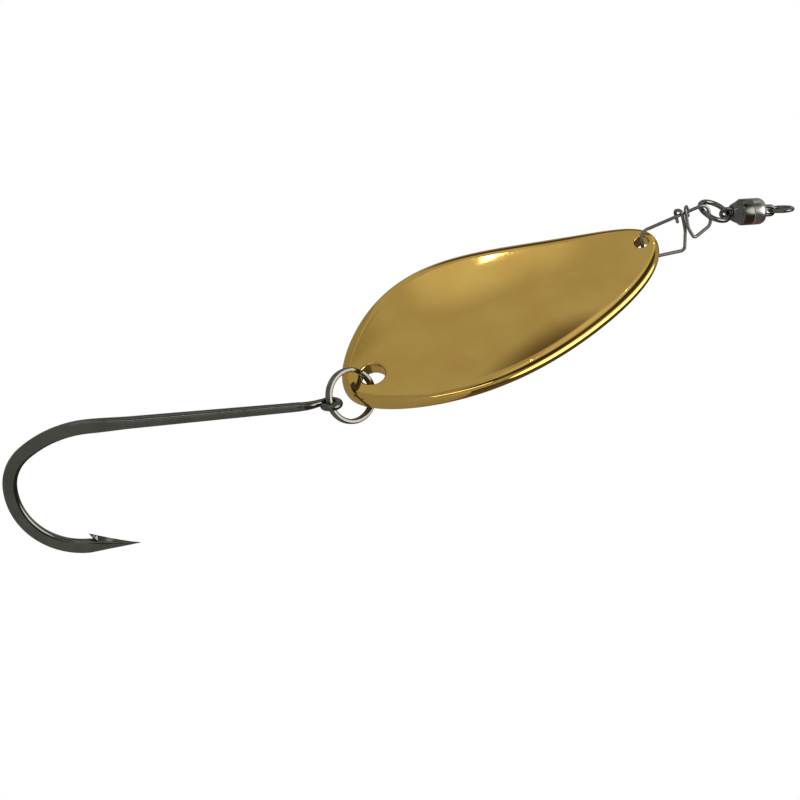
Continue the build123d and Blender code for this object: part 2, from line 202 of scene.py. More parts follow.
sheen_spread = add(plating, "ShaderNodeMapRange", {
    "Value": patches.outputs["Fac"], "From Min": 0.3, "From Max": 0.7,
    "To Min": given["Smoothest"], "To Max": given["Roughest"],
})
plating.links.new(colour.outputs[2], gives["Colour"])
plating.links.new(sheen_spread.outputs["Result"], gives["Roughness"])
plating.links.new(specks.outputs["Result"], gives["Specks"])

# A die or a grinding belt leaves long fine lines that run with the metal.
lines, given, gives = new_group(
    "drawing_lines",
    (
        ("Lines per mm", "NodeSocketFloat", 9.0),
        ("Breaks per mm", "NodeSocketFloat", 0.35),
    ),
    (("Height", "NodeSocketFloat"),),
)
run = add(lines, "ShaderNodeUVMap", uv_map="run").outputs["UV"]
run_parts = add(lines, "ShaderNodeSeparateXYZ", {"Vector": run}).outputs
along = add(lines, "ShaderNodeMath", {0: run_parts["X"], 1: given["Breaks per mm"]}, operation="MULTIPLY")
around = add(lines, "ShaderNodeMath", {0: run_parts["Y"], 1: given["Lines per mm"]}, operation="MULTIPLY")
stretched = add(lines, "ShaderNodeCombineXYZ", {"X": along.outputs[0], "Y": around.outputs[0]})
line_noise = add(lines, "ShaderNodeTexNoise", {
    "Vector": stretched.outputs["Vector"], "Scale": 1.0, "Detail": 5.0, "Roughness": 0.6,
})
lines.links.new(line_noise.outputs["Fac"], gives["Height"])


def plated(name, colours, smoothest, roughest, patches_per_m, line_depth, speck_depth, lines_per_mm=9.0):
    """Plated metal: uneven plating, full and thin, over the lines that drawing left in it."""
    full, thin_colour = colours
    finish = bpy.data.materials.new(name)
    finish.use_nodes = True
    tree = finish.node_tree
    metal = tree.nodes["Principled BSDF"]
    metal.inputs["Metallic"].default_value = 1.0
    coat = add(tree, "ShaderNodeGroup", node_tree=plating)
    coat.inputs["Patches per metre"].default_value = patches_per_m
    coat.inputs["Full colour"].default_value = full
    coat.inputs["Thin colour"].default_value = thin_colour
    coat.inputs["Smoothest"].default_value = smoothest
    coat.inputs["Roughest"].default_value = roughest
    drawn = add(tree, "ShaderNodeGroup", node_tree=lines)
    drawn.inputs["Lines per mm"].default_value = lines_per_mm
    scored = add(tree, "ShaderNodeBump", {"Height": drawn.outputs["Height"], "Distance": line_depth})
    pitted = add(tree, "ShaderNodeBump", {
        "Height": coat.outputs["Specks"], "Distance": speck_depth, "Normal": scored.outputs["Normal"],
    })
    tree.links.new(coat.outputs["Colour"], metal.inputs["Base Color"])
    tree.links.new(coat.outputs["Roughness"], metal.inputs["Roughness"])
    tree.links.new(pitted.outputs["Normal"], metal.inputs["Normal"])
    return finish


black_nickel = plated("black_nickel_plate", (BLACK_NICKEL, BLACK_NICKEL_THIN), 0.1, 0.22, 320.0, 1.2e-6, 8e-7)

ring_side = Vector((0, 0, 1)).cross(LINE_RING_NORMAL)
line_ring_place = link_place(Vector((0, 0, 0)), ring_side, LINE_RING_NORMAL)
line_ring = draw_wire(
    "line_ring_wire", ring_route(LINE_RING_MID_R), welded_section(LINE_RING_WIRE_R, 0.3),
    Vector((0, 0, 1)), line_ring_place, closed=True,
)
line_ring.data.materials.append(black_nickel)
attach(line_ring, "line_ring")
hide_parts("line_ring")

# ============================================================ fixed loop
# A U of steel wire whose legs go through the swivel's end wall and are headed over inside it.
FIXED_LOOP_WIRE_R = 0.31
FIXED_LOOP_REACH = 1.93
FIXED_LOOP_HALF_WIDTH = 0.71
LEG_ROOT = -1.2
joints = {joint["name"]: joint for joint in frame["record"]["behaviour"]["joints"]}
swivel_centre = Vector(joints["swivel_spin"]["pos_m"])
swivel_axis = Vector(joints["swivel_spin"]["axis"]).normalized()


def u_route(half_width, reach, root, steps=28):
    """Two legs up from the root and a half circle that joins them at the reach, in the XZ plane."""
    side = 1 if reach > root else -1
    arc_z = reach - side * half_width
    legs = [root + (arc_z - root) * k / 8 for k in range(8)]
    route = [Vector((-half_width, 0, z)) for z in legs]
    for k in range(steps + 1):
        turn = math.pi * (1 - k / steps)
        route.append(Vector((half_width * math.cos(turn), 0, arc_z + side * half_width * math.sin(turn))))
    return route + [Vector((half_width, 0, z)) for z in reversed(legs)]


def standing_place(centre, axis, width_way):
    """Where a turned piece stands: z along its axis, x the way its loop is wide, millimetres to metres."""
    x = across(width_way, axis)
    turn = Matrix((x, axis.cross(x), axis)).transposed().to_4x4()
    return Matrix.Translation(centre) @ turn @ Matrix.Scale(MM, 4)


housing_place = standing_place(swivel_centre, swivel_axis, LINE_RING_NORMAL)
fixed_loop = draw_wire(
    "fixed_loop_wire", u_route(FIXED_LOOP_HALF_WIDTH, FIXED_LOOP_REACH, LEG_ROOT),
    lambda share: round_wire(FIXED_LOOP_WIRE_R), Vector((0, 1, 0)), housing_place,
)
fixed_loop.data.materials.append(black_nickel)
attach(fixed_loop, "housing")
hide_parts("fixed_loop")

# ============================================================ swivel end shell
# The rounded half of the barrel, turned from brass bar and left with a fine satin grain by
# bead blasting before its nickel plate. Its skirt slips into the nose shell.
SHELL_R = 2.2
SHELL_SEAM = -2.35
END_FACE_R = 1.35
END_SHOULDER = -1.15
END_WALL = 0.9
SKIRT_R = 1.77
SKIRT_END = -2.75
SKIRT_BORE_R = 1.42
SEAM_BEVEL = 0.09
SATIN_NICKEL = (0.46, 0.46, 0.445, 1)
SATIN_NICKEL_THIN = (0.55, 0.54, 0.52, 1)


def turned(name, profile, place, segments=96):
    """A closed (radius, height) profile turned about z, with its run map around and along it."""
    work = bmesh.new()
    run_map = work.loops.layers.uv.new("run")
    lengths = [0.0]
    for (r0, z0), (r1, z1) in zip(profile, profile[1:] + profile[:1]):
        lengths.append(lengths[-1] + math.hypot(r1 - r0, z1 - z0))
    columns = []
    for k in range(segments):
        turn = 2 * math.pi * k / segments
        way = Vector((math.cos(turn), math.sin(turn), 0))
        columns.append([work.verts.new(place @ (way * r + Vector((0, 0, z)))) for r, z in profile])
    for k in range(segments):
        near, far = columns[k], columns[(k + 1) % segments]
        for i in range(len(profile)):
            after = (i + 1) % len(profile)
            face = work.faces.new((near[i], far[i], far[after], near[after]))
            face.smooth = True
            arc = 2 * math.pi * profile[i][0] / segments
            marks = ((arc * k, lengths[i]), (arc * (k + 1), lengths[i]),
                     (arc * (k + 1), lengths[i + 1]), (arc * k, lengths[i + 1]))
            for corner, mark in zip(face.loops, marks):
                corner[run_map].uv = mark
    bmesh.ops.recalc_face_normals(work, faces=work.faces)
    mesh = bpy.data.meshes.new(name)
    work.to_mesh(mesh)
    work.free()
    piece = bpy.data.objects.new(name, mesh)
    bpy.context.collection.objects.link(piece)
    return piece


def quarter(start, end, bulge_way, steps=8):
    """A quarter of an ellipse from start to end, bulging in radius ('r') or height ('z') first."""
    (r0, z0), (r1, z1) = start, end
    points = []
    for k in range(1, steps + 1):
        turn = math.pi / 2 * k / steps
        swing, rise = math.sin(turn), 1 - math.cos(turn)
        if bulge_way == "r":
            points.append((r0 + (r1 - r0) * swing, z0 + (z1 - z0) * rise))
        else:
            points.append((r0 + (r1 - r0) * rise, z0 + (z1 - z0) * swing))
    return points


satin_nickel = plated(
    "satin_nickel_plate", (SATIN_NICKEL, SATIN_NICKEL_THIN), 0.22, 0.32, 900.0, 8e-7, 1.6e-6, 5.0,
)

end_profile = [(0.02, 0.0), (END_FACE_R, 0.0)]
end_profile += quarter((END_FACE_R, 0.0), (SHELL_R, END_SHOULDER), "r", 12)
end_profile += [(SHELL_R, SHELL_SEAM + SEAM_BEVEL)]
end_profile += quarter((SHELL_R, SHELL_SEAM + SEAM_BEVEL), (SHELL_R - SEAM_BEVEL, SHELL_SEAM), "z", 4)
end_profile += [(SKIRT_R, SHELL_SEAM), (SKIRT_R, SKIRT_END), (SKIRT_BORE_R, SKIRT_END)]
end_profile += [(SKIRT_BORE_R, -END_WALL), (0.02, -END_WALL)]
end_shell = turned("end_shell_turned", end_profile, housing_place)
end_shell.data.materials.append(satin_nickel)
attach(end_shell, "housing")
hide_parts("end_shell")

# ============================================================ swivel nose shell
# The coned half of the barrel, turned and plated in black nickel. The rotating loop's shank
# runs in the hole in its nose, and its rim closes over the end shell's skirt.
NOSE_R = 1.3
NOSE_Z = -5.75
CONE_TOP = -4.25
NOSE_BORE_R = 0.55
SHELL_BORE_R = 1.78
CONE_ROUND = 0.28
SEAM_GAP = 0.02
SHELL_BLACK = (0.15, 0.15, 0.14, 1)
SHELL_BLACK_THIN = (0.2, 0.195, 0.18, 1)

seam_edge = (SHELL_R - SEAM_BEVEL, SHELL_SEAM - SEAM_GAP)
cone_start = (SHELL_R, CONE_TOP + CONE_ROUND)
nose_edge = (NOSE_R + 0.08, NOSE_Z + 0.13)
nose_shell_profile = [(SHELL_BORE_R, SHELL_SEAM - SEAM_GAP), seam_edge]
nose_shell_profile += quarter(seam_edge, (SHELL_R, SHELL_SEAM - SEAM_BEVEL), "r", 4)
nose_shell_profile += [cone_start]
nose_shell_profile += quarter(cone_start, (SHELL_R - 0.2, CONE_TOP - 0.12), "z", 6)
nose_shell_profile += [nose_edge]
nose_shell_profile += quarter(nose_edge, (NOSE_R - 0.06, NOSE_Z), "z", 5)
nose_shell_profile += [(NOSE_BORE_R, NOSE_Z), (NOSE_BORE_R, CONE_TOP), (SHELL_BORE_R, CONE_TOP)]
nose_shell = turned("nose_shell_turned", nose_shell_profile, housing_place)
shell_black = plated("black_nickel_shell", (SHELL_BLACK, SHELL_BLACK_THIN), 0.16, 0.26, 700.0, 6e-7, 8e-7)
nose_shell.data.materials.append(shell_black)
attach(nose_shell, "housing")
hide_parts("nose_shell")

# ============================================================ ball bearing
# Two grooved washers with eight hardened steel balls between them, and the collar that is
# pressed on the loop's shank to hold the stack. All are ground and polished.
BEARING_STEEL = (0.62, 0.62, 0.63, 1)
BEARING_STEEL_BRIGHT = (0.7, 0.7, 0.7, 1)
BALL_COUNT = 8

bearing_steel = plated(
    "ground_bearing_steel", (BEARING_STEEL, BEARING_STEEL_BRIGHT), 0.06, 0.14, 500.0, 0.0, 5e-7,
)
bearing_nodes = ["lower_race", "upper_race", "shank_collar"]
bearing_nodes += ["bearing_ball_" + str(i + 1) for i in range(BALL_COUNT)]
for node in bearing_nodes:
    ground = frame["nodes"][node]
    ground.data.materials.clear()
    ground.data.materials.append(bearing_steel)

# ============================================================ rotating loop
# A forged shank with a shoulder that bears on the nose, drawn out below into a U of wire.
# It turns freely in the bearing, so the lure can spin without twisting the line.
ROTATING_LOOP_WIRE_R = 0.33
ROTATING_LOOP_REACH = 1.75
ROTATING_HALF_WIDTH = 0.82
SHOULDER_R = 1.12
SHOULDER_TOP = -5.8
SHOULDER_THICKNESS = 0.15
SHANK_R = 0.5
SHANK_TOP = -2.1
SNAP_RING_NORMAL = Vector((-0.841, -0.307, 0.4485)).normalized()

rotating_place = standing_place(swivel_centre, swivel_axis, SNAP_RING_NORMAL)
loop_tip = NOSE_Z - ROTATING_LOOP_REACH
shoulder_bottom = SHOULDER_TOP - SHOULDER_THICKNESS
rotating_loop = draw_wire(
    "rotating_loop_wire", u_route(ROTATING_HALF_WIDTH, loop_tip, shoulder_bottom + SHOULDER_THICKNESS / 2),
    lambda share: round_wire(ROTATING_LOOP_WIRE_R), Vector((0, 1, 0)), rotating_place,
)
rotating_loop.data.materials.append(black_nickel)
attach(rotating_loop, "rotating_side")
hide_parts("rotating_loop")

shoulder_edge = (SHOULDER_R - 0.04, SHOULDER_TOP)
shank_profile = [(0.02, SHANK_TOP), (SHANK_R, SHANK_TOP), (SHANK_R, SHOULDER_TOP), shoulder_edge]
shank_profile += quarter(shoulder_edge, (SHOULDER_R, SHOULDER_TOP - 0.04), "r", 3)
shank_profile += quarter((SHOULDER_R, shoulder_bottom + 0.08), (SHOULDER_R - 0.2, shoulder_bottom), "z", 4)
shank_profile += [(0.02, shoulder_bottom)]
loop_shank = turned("rotating_loop_shank", shank_profile, rotating_place, 64)
loop_shank.data.materials.append(black_nickel)
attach(loop_shank, "rotating_side")

# ============================================================ snap ring
# A heavier welded ring between the swivel and the snap, black nickel plated.
SNAP_RING_WIRE_R = 0.42
SNAP_RING_MID_R = 2.54

ring_low, ring_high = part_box("snap_ring")
snap_ring_centre = (Vector(ring_low) + Vector(ring_high)) / 2
snap_ring_place = link_place(snap_ring_centre, across(Vector((0, 0, 1)), SNAP_RING_NORMAL), SNAP_RING_NORMAL)
snap_ring = draw_wire(
    "snap_ring_wire", ring_route(SNAP_RING_MID_R, 150), welded_section(SNAP_RING_WIRE_R, 0.62),
    Vector((0, 0, 1)), snap_ring_place, closed=True,
)
snap_ring.data.materials.append(black_nickel)
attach(snap_ring, "snap_ring")
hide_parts("snap_ring")

# ============================================================ snap
# One length of springy stainless wire bent to a loop at each end. Each end's arm springs over
# the straight spine and hooks back down behind it, which locks its loop shut.
SNAP_WIRE_R = 0.28
SNAP_LENGTH = 12.5
SPINE_HEIGHT = 2.6
SPINE_START = 2.15
LURE_LOOP_DEPTH = 3.5
LURE_LOOP_CORNER = 6.75
SWIVEL_LOOP_DEPTH = 2.1
SWIVEL_LOOP_CORNER = 8.8
LATCH_CENTRE = 8.05
LATCH_TAIL = 1.5
LATCH_OVER_SPINE = 0.15
LATCH_BESIDE_SPINE = 0.06
SNAP_SEAT_INSET = 0.9
SNAP_SEAT_DROP = 1.1
SNAP_WIRE_LENGTH = 62.0
LATCH_TOP = SPINE_HEIGHT + 2 * SNAP_WIRE_R + LATCH_OVER_SPINE
LATCH_FRONT = 2 * SNAP_WIRE_R + LATCH_BESIDE_SPINE
SNAP_AXIS = Vector((-0.028, -0.001, 1.0)).normalized()
SNAP_SIDE = across(Vector((-0.982, 0.157, -0.028)), SNAP_AXIS)
SPRING_WIRE = (0.24, 0.24, 0.23, 1)
SPRING_WIRE_THIN = (0.3, 0.297, 0.285, 1)


def bent_route(corners, spacing=0.16):
    """Straight runs joined by tangent arcs. Each corner is x, y, z and the radius that it is bent to."""
    points = [Vector(corner[:3]) for corner in corners]
    route = [points[0]]

    def run_to(target):
        start = route[-1]
        steps = max(1, round((target - start).length / spacing))
        route.extend(start.lerp(target, k / steps) for k in range(1, steps + 1))

    for i in range(1, len(points) - 1):
        back = (points[i - 1] - points[i]).normalized()
        ahead = (points[i + 1] - points[i]).normalized()
        half_angle = back.angle(ahead) / 2
        radius = corners[i][3]
        arc_start = points[i] + back * radius / math.tan(half_angle)
        run_to(arc_start)
        centre = points[i] + (back + ahead).normalized() * radius / math.sin(half_angle)
        spoke = arc_start - centre
        turn = math.pi - 2 * half_angle
        hinge = spoke.cross(back * -1).normalized()
        steps = max(6, round(turn * radius / spacing * 1.6))
        for k in range(1, steps + 1):
            route.append(centre + Matrix.Rotation(turn * k / steps, 3, hinge) @ spoke)
    run_to(points[-1])
    return route


snap_corners = [
    (LATCH_CENTRE - 1.05, SPINE_HEIGHT - LATCH_TAIL, -LATCH_FRONT, 0),
    (LATCH_CENTRE - 1.03, LATCH_TOP, -LATCH_FRONT, 0.5),
    (LATCH_CENTRE - 0.37, LATCH_TOP, LATCH_FRONT, 0.5),
    (LATCH_CENTRE - 0.3, -0.4, -0.08, 3.0),
    (LURE_LOOP_CORNER, -LURE_LOOP_DEPTH, 0, 0.8),
    (-0.4, SPINE_START - 4.5, 0, 1.3),
    (0.1, SPINE_START, 0, 1.5),
    (SNAP_LENGTH + 0.1, SPINE_HEIGHT + 0.05, 0, 1.25),
    (SNAP_LENGTH - 0.1, -1.0, 0, 1.35),
    (SWIVEL_LOOP_CORNER, -SWIVEL_LOOP_DEPTH, 0.2, 0.6),
    (LATCH_CENTRE + 0.07, 0.0, 0.5, 2.0),
    (LATCH_CENTRE + 0.35, LATCH_TOP, LATCH_FRONT, 0.5),
    (LATCH_CENTRE + 1.2, LATCH_TOP, -LATCH_FRONT, 0.5),
    (LATCH_CENTRE + 1.0, SPINE_HEIGHT - 1.15, -LATCH_FRONT, 0),
]
snap_seat = Vector((SNAP_LENGTH - SNAP_SEAT_INSET, SPINE_HEIGHT - SNAP_SEAT_DROP, 0))
snap_turn = Matrix((SNAP_AXIS, SNAP_SIDE, SNAP_AXIS.cross(SNAP_SIDE))).transposed()
snap_origin = Vector(joints["snap_swing"]["pos_m"]) - snap_turn @ snap_seat * MM
snap_place = Matrix.Translation(snap_origin) @ snap_turn.to_4x4() @ Matrix.Scale(MM, 4)


def sheared_ends(radius, length):
    """A round wire whose cut ends are slightly broken by the shear."""
    def section_at(share):
        nearest = min(share, 1 - share) * length
        return round_wire(radius * min(1.0, 0.78 + nearest * 2.2), 20)
    return section_at


snap = draw_wire(
    "snap_wire", bent_route(snap_corners), sheared_ends(SNAP_WIRE_R, SNAP_WIRE_LENGTH),
    Vector((1, 0, 0.01)), snap_place,
)
spring_wire = plated(
    "drawn_spring_wire", (SPRING_WIRE, SPRING_WIRE_THIN), 0.14, 0.26, 420.0, 1.5e-6, 8e-7, 11.0,
)
snap.data.materials.append(spring_wire)
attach(snap, "snap")
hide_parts("snap")

# ============================================================ blade
# Stamped from 2.4 mm brass sheet, dished across and bent in a slight S, with both holes punched.
# Its edges are tumbled round, and it is polished and gold plated.
BLADE_LENGTH = 58.0
BLADE_WIDTH = 27.6
BLADE_THICKNESS = 2.4
CUP = 1.24
CUP_TAPER = 0.53
CUP_ENDS = 0.6
BOW = 1.86
S_BEND = 2.47
END_LIFT = 1.67
TAIL_FULLNESS = 0.304
END_PINCH = 0.129
FRONT_SHOULDER = 0.263
RIM_INSET = (2.0, 0.9)
RIM_DROP = 1.15
RIM_NARROWING = 0.55
TAIL_HOLE = (-24.2, 2.0, 0.35)
FRONT_HOLE = (26.5, 1.15, 0.2)
BLADE_AXIS = Vector((-0.085, 0.088, 0.993)).normalized()
BLADE_FACE = across(Vector((-0.931, -0.3625, -0.048)), BLADE_AXIS)
GRID = 0.75
RIM_STEPS = 16
OUTLINE_STEPS = 300
HOLE_SIDES = 72
HOLE_ROUND_STEPS = 5
HOLE_CLEARANCE = 0.45
RIM_CLEARANCE = 0.35
GOLD = (0.79, 0.53, 0.135, 1)
GOLD_DEEP = (0.7, 0.43, 0.1, 1)


def face_height(x, y):
    """Height of the dished face over the blade's base plane."""
    share = 2 * x / BLADE_LENGTH
    bend = S_BEND * (share**3 - share) - BOW * share**2 + END_LIFT * share**4
    cup = CUP - CUP_TAPER * share + CUP_ENDS * share**2
    return bend + cup * (2 * y / BLADE_WIDTH) ** 2


def face_slopes(x, y):
    """How steeply the face climbs along and across the blade."""
    step = 0.02
    slope_x = (face_height(x + step, y) - face_height(x - step, y)) / (2 * step)
    slope_y = (face_height(x, y + step) - face_height(x, y - step)) / (2 * step)
    return slope_x, slope_y


def outline_at(turn):
    """The egg-shaped outline, fuller towards the tail, and its outward direction."""
    def point(t):
        share = math.cos(t)
        width = 1 - TAIL_FULLNESS * share - END_PINCH * share**2 + FRONT_SHOULDER * share**3
        return Vector((BLADE_LENGTH / 2 * share, BLADE_WIDTH / 2 * math.sin(t) * width))
    tangent = (point(turn + 0.001) - point(turn - 0.001)).normalized()
    return point(turn), Vector((tangent.y, -tangent.x))


def stamp_blade():
    """The blade's mesh: both faces, the rounded rim and the two rounded holes, with true normals."""
    spots, normals, faces = [], [], []

    def spot(x, y, back, drop, outward, lean):
        """A point of the dished face, or of the back. drop is how far it lies in from that surface."""
        slope_x, slope_y = face_slopes(x, y)
        facing = Vector((-slope_x, -slope_y, 1)).normalized()
        if back:
            facing = -facing
        z = face_height(x, y) + (drop - BLADE_THICKNESS if back else -drop)
        out3 = Vector((outward.x, outward.y, outward.x * slope_x + outward.y * slope_y)).normalized()
        spots.append(Vector((x, y, z)))
        normals.append((facing * math.cos(lean) + out3 * math.sin(lean)).normalized())
        return len(spots) - 1

    turns = [2 * math.pi * k / OUTLINE_STEPS for k in range(OUTLINE_STEPS)]
    outline = [outline_at(turn) for turn in turns]
    rim = []
    for back in (0, 1):
        for step in range(RIM_STEPS + 1):
            part = step / RIM_STEPS
            roll = math.pi / 2 * (1 - part if back else part)
            row = []
            for turn, (point, out) in zip(turns, outline):
                inset = RIM_INSET[back] * (1 - RIM_NARROWING * abs(math.cos(turn)) ** 10)
                lean = math.atan2(RIM_DROP * math.sin(roll), inset * math.cos(roll))
                place2 = point - out * inset * (1 - math.sin(roll))
                row.append(spot(place2.x, place2.y, back, RIM_DROP * (1 - math.cos(roll)), out, lean))
            rim.append(row)
    walls = [rim]
    for centre_x, radius, soft in (TAIL_HOLE, FRONT_HOLE):
        slope_x, slope_y = face_slopes(centre_x, 0)
        hole = []
        for back in (0, 1):
            for step in range(HOLE_ROUND_STEPS + 1):
                lean = math.pi / 2 * step / HOLE_ROUND_STEPS
                if back:
                    lean = math.pi / 2 - lean
                drop = soft * (1 - math.cos(lean))
                depth = BLADE_THICKNESS - drop if back else drop
                row = []
                for k in range(HOLE_SIDES):
                    turn = 2 * math.pi * k / HOLE_SIDES
                    out = Vector((-math.cos(turn), -math.sin(turn)))
                    reach = radius + soft * (1 - math.sin(lean))
                    middle = Vector((centre_x + slope_x * depth, slope_y * depth))
                    place2 = middle - out * reach
                    row.append(spot(place2.x, place2.y, back, drop, out, lean))
                hole.append(row)
        walls.append(hole)
    for rows in walls:
        for upper, lower in zip(rows, rows[1:]):
            for k in range(len(upper)):
                after = (k + 1) % len(upper)
                faces.append((upper[k], lower[k], lower[after], upper[after]))
    for back in (0, 1):
        loops = [rows[-1] if back else rows[0] for rows in walls]
        flat = [spots[i].to_2d() for loop in loops for i in loop]
        ids = [i for loop in loops for i in loop]
        bounds2, start = [], 0
        for loop in loops:
            size = len(loop)
            bounds2 += [(start + k, start + (k + 1) % size) for k in range(size)]
            start += size
        centres = []
        for loop in loops[1:]:
            middle = sum((spots[i].to_2d() for i in loop), Vector((0, 0))) / len(loop)
            centres.append((middle, (spots[loop[0]].to_2d() - middle).length))
        columns = int(BLADE_LENGTH / GRID)
        rows_across = int(BLADE_WIDTH * 1.2 / GRID)
        for i in range(columns + 1):
            x = -BLADE_LENGTH / 2 + GRID * i
            share = max(-1.0, min(1.0, 2 * x / BLADE_LENGTH))
            half = outline_at(math.acos(share))[0].y
            for j in range(-rows_across // 2, rows_across // 2 + 1):
                here = Vector((x, GRID * (j + 0.5 * (i % 2))))
                if abs(here.y) > half - RIM_INSET[0] * 0.5:
                    continue
                if any((here - c).length < r + HOLE_CLEARANCE for c, r in centres):
                    continue
                nearest = min((here - point).length for point, out in outline[::6])
                if nearest < RIM_INSET[0] + RIM_CLEARANCE:
                    continue
                ids.append(spot(here.x, here.y, back, 0.0, Vector((1, 0)), 0.0))
                flat.append(here)
        points2, _, triangles, origins, _, _ = delaunay_2d_cdt(flat, bounds2, [], 1, 1e-6)
        for triangle in triangles:
            middle = sum((points2[i] for i in triangle), Vector((0, 0))) / 3
            if any((middle - c).length < r * 0.995 for c, r in centres):
                continue
            corner = [ids[origins[i][0]] for i in triangle]
            faces.append(corner if not back else corner[::-1])
    return spots, normals, faces


hang = Vector(joints["blade_swing"]["pos_m"])
front_slope_x, front_slope_y = face_slopes(FRONT_HOLE[0], 0)
front_normal = Vector((-front_slope_x, -front_slope_y, 1)).normalized()
front_middle = Vector((FRONT_HOLE[0], 0, face_height(FRONT_HOLE[0], 0))) - front_normal * BLADE_THICKNESS / 2
blade_turn = Matrix((BLADE_AXIS, BLADE_FACE.cross(BLADE_AXIS), BLADE_FACE)).transposed()
blade_origin = hang - blade_turn @ front_middle * MM
blade_place = Matrix.Translation(blade_origin) @ blade_turn.to_4x4() @ Matrix.Scale(MM, 4)

spots, normals, faces = stamp_blade()
blade_mesh = bpy.data.meshes.new("blade_stamped")
blade_mesh.from_pydata([blade_place @ spot for spot in spots], [], faces)
fix = bmesh.new()
fix.from_mesh(blade_mesh)
bmesh.ops.recalc_face_normals(fix, faces=fix.faces)
fix.to_mesh(blade_mesh)
fix.free()
blade_mesh.polygons.foreach_set("use_smooth", [True] * len(blade_mesh.polygons))
run_layer = blade_mesh.uv_layers.new(name="run")
for corner in blade_mesh.loops:
    run_layer.data[corner.index].uv = spots[corner.vertex_index].to_2d()
blade_mesh.normals_split_custom_set_from_vertices([blade_turn @ normal for normal in normals])
blade = bpy.data.objects.new("blade_stamped", blade_mesh)
bpy.context.collection.objects.link(blade)

gold_plate = bpy.data.materials.new("polished_gold_plate")
gold_plate.use_nodes = True
tree = gold_plate.node_tree
gold = tree.nodes["Principled BSDF"]
gold.inputs["Metallic"].default_value = 1.0
coat = add(tree, "ShaderNodeGroup", node_tree=plating)
coat.inputs["Patches per metre"].default_value = 90.0
coat.inputs["Full colour"].default_value = GOLD
coat.inputs["Thin colour"].default_value = GOLD_DEEP
coat.inputs["Smoothest"].default_value = 0.035
coat.inputs["Roughest"].default_value = 0.07
polish = add(tree, "ShaderNodeGroup", node_tree=lines)
polish.inputs["Lines per mm"].default_value = 7.0
polish.inputs["Breaks per mm"].default_value = 0.12
buffed = add(tree, "ShaderNodeBump", {"Height": polish.outputs["Height"], "Distance": 1.2e-7})
speckled = add(tree, "ShaderNodeBump", {
    "Height": coat.outputs["Specks"], "Distance": 1e-7, "Normal": buffed.outputs["Normal"],
})
tree.links.new(coat.outputs["Colour"], gold.inputs["Base Color"])
tree.links.new(coat.outputs["Roughness"], gold.inputs["Roughness"])
tree.links.new(speckled.outputs["Normal"], gold.inputs["Normal"])
blade.data.materials.append(gold_plate)
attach(blade, "blade")
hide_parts("blade")

# ============================================================ split ring
# Nearly two turns of flattened wire lying side by side, which step over from one layer to the
# other beside the cut ends. Black nickel plated.
SPLIT_MID_R = 4.05
SPLIT_RADIAL = 0.4
SPLIT_AXIAL = 0.31
SPLIT_LAYER = 0.325
SPLIT_TURNS = 1.94
SPLIT_START = math.radians(145)
SPLIT_STEP = math.radians(32)
SPLIT_NORMAL = Vector((-0.28, -0.912, 0.296)).normalized()
SPLIT_TO_BLADE = across(Vector((-0.15, 0.21, 0.965)), SPLIT_NORMAL)
SPLIT_TO_HOOK = across(Vector((-0.055, -0.107, -0.993)), SPLIT_NORMAL)
EYE_SLACK = 0.08

hook_eye = Vector(joints["hook_swing"]["pos_m"])
split_centre = hook_eye - SPLIT_TO_HOOK * (SPLIT_MID_R - EYE_SLACK) * MM
split_turn = Matrix((SPLIT_TO_BLADE.cross(SPLIT_NORMAL), SPLIT_TO_BLADE, SPLIT_NORMAL)).transposed()
split_place = Matrix.Translation(split_centre) @ split_turn.to_4x4() @ Matrix.Scale(MM, 4)


def coil_route(steps=320):
    """The two turns of the coil, stepping from the lower layer to the upper one halfway."""
    route = []
    whole = 2 * math.pi * SPLIT_TURNS
    for k in range(steps + 1):
        turned_by = whole * k / steps
        step = max(0.0, min(1.0, (turned_by - whole / 2) / SPLIT_STEP + 0.5))
        layer = SPLIT_LAYER * (2 * (3 * step**2 - 2 * step**3) - 1)
        turn = SPLIT_START + turned_by
        route.append(Vector((SPLIT_MID_R * math.cos(turn), SPLIT_MID_R * math.sin(turn), layer)))
    return route


def flattened(half_wide, half_thick, squareness, sides=28):
    """A section between an oval and a rectangle: the squareness 2 is an oval."""
    section = []
    for k in range(sides):
        turn = 2 * math.pi * k / sides
        c, s = math.cos(turn), math.sin(turn)
        section.append((
            half_wide * math.copysign(abs(c) ** (2 / squareness), c),
            half_thick * math.copysign(abs(s) ** (2 / squareness), s),
        ))
    return section


split_ring = draw_wire(
    "split_ring_coil", coil_route(), lambda share: flattened(SPLIT_AXIAL, SPLIT_RADIAL, 2.7),
    Vector((0, 0, 1)), split_place,
)
split_ring.data.materials.append(black_nickel)
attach(split_ring, "split_ring")
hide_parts("split_ring")

# ============================================================ hook
# Carbon steel wire, cut and ground to a knife point, its barb sliced up, its eye bent round,
# then the bend forged flat, hardened, tumbled and plated in black nickel.
EYE_WIRE_R = 0.55
EYE_MID_R = 1.4
SHANK_TOP_R = 0.7
HOOK_SHANK_R = 0.975
HOOK_SHANK_LENGTH = 37.5
FORGED_START = 30.5
FORGED_HALF_WIDTH = 1.15
FORGED_HALF_THICKNESS = 0.75
BEND_RADII = (16.9, 7.3, 11.2)
BEND_TURNS = (38.0, 50.0, 92.0)
POINT_LENGTH = 8.0
POINT_LEAN = 0.3
GRIND_CURVE = 1.15
SHANK_JOIN = 4.6
HOOK_SIDES = 40
TIP_R = 0.05
BARB_SETBACK = 6.6
BARB_RISE = 1.0
BARB_HOLLOW = 0.1
BARB_OVERHANG = 1.3
BARB_ROOT_SINK = 0.62
BARB_STEPS = 18
HOOK_BLACK = (0.14, 0.142, 0.125, 1)
HOOK_BLACK_THIN = (0.185, 0.183, 0.165, 1)
HOOK_AXIS = Vector((0.155, -0.252, 0.957)).normalized()
